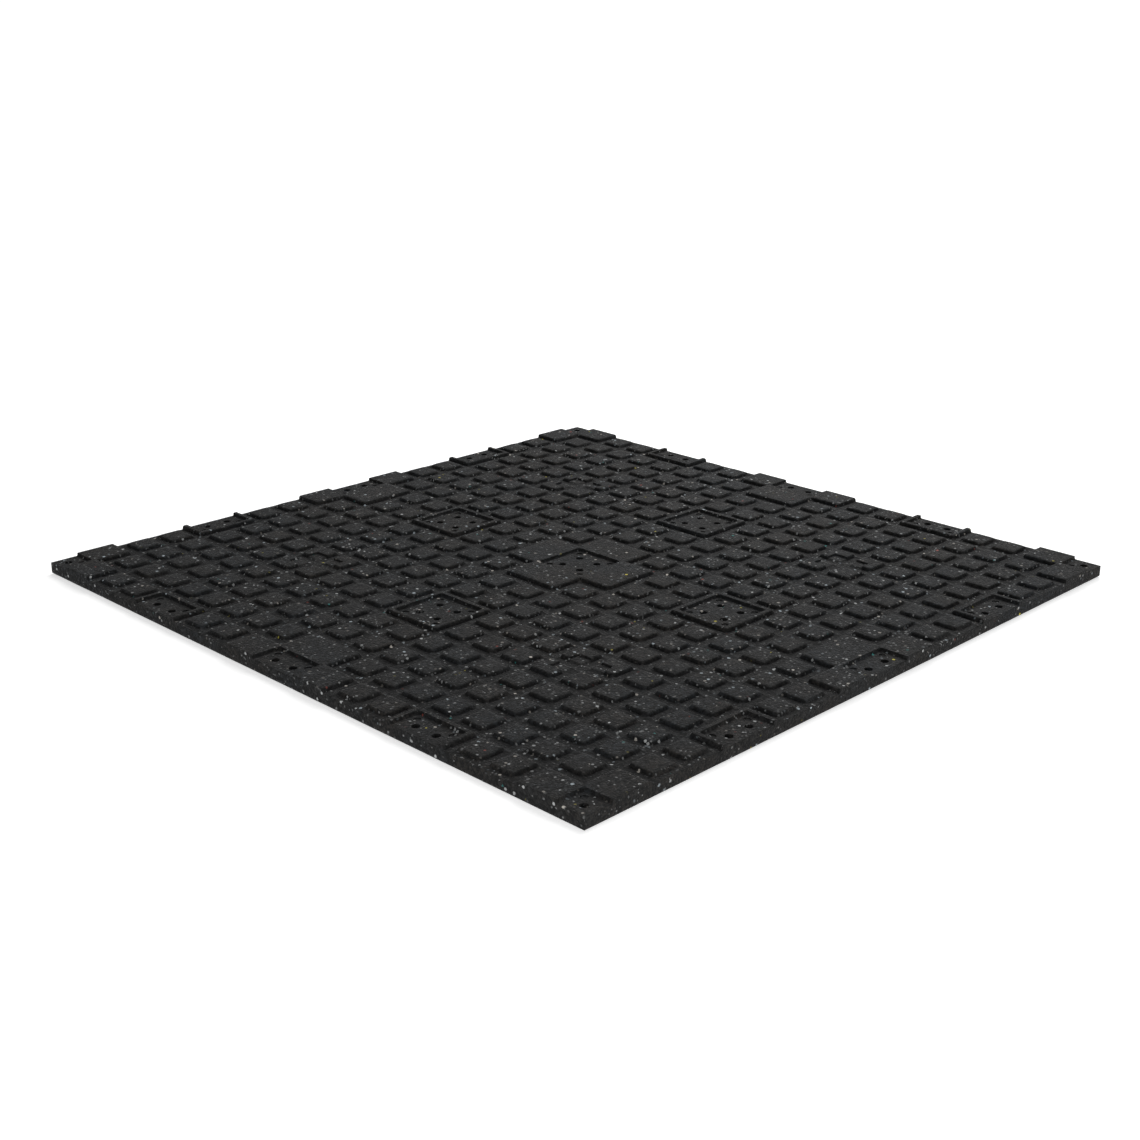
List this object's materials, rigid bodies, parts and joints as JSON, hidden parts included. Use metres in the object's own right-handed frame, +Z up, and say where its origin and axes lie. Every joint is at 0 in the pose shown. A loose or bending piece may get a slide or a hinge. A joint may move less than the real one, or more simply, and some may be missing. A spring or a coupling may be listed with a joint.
{
  "type": "rubber gym floor tile",
  "caption": "Square bonded rubber crumb floor tile lying tread face down: studs, plus-shaped pads, rims, connector recesses and blind pin holes on its upturned underside.",
  "frame": {"origin": "centre of the smooth tread face, which lies on the floor", "axes": "+Z up through the thickness towards the studded underside, +X and +Y along the two pairs of edges"},
  "size_m": [1, 1, 0.02],
  "materials": {
    "rubber": "matt black bonded crumb with fine light grey flecks"
  },
  "bodies": {
    "root": {"tile": "rubber"}
  },
  "joints": []
}
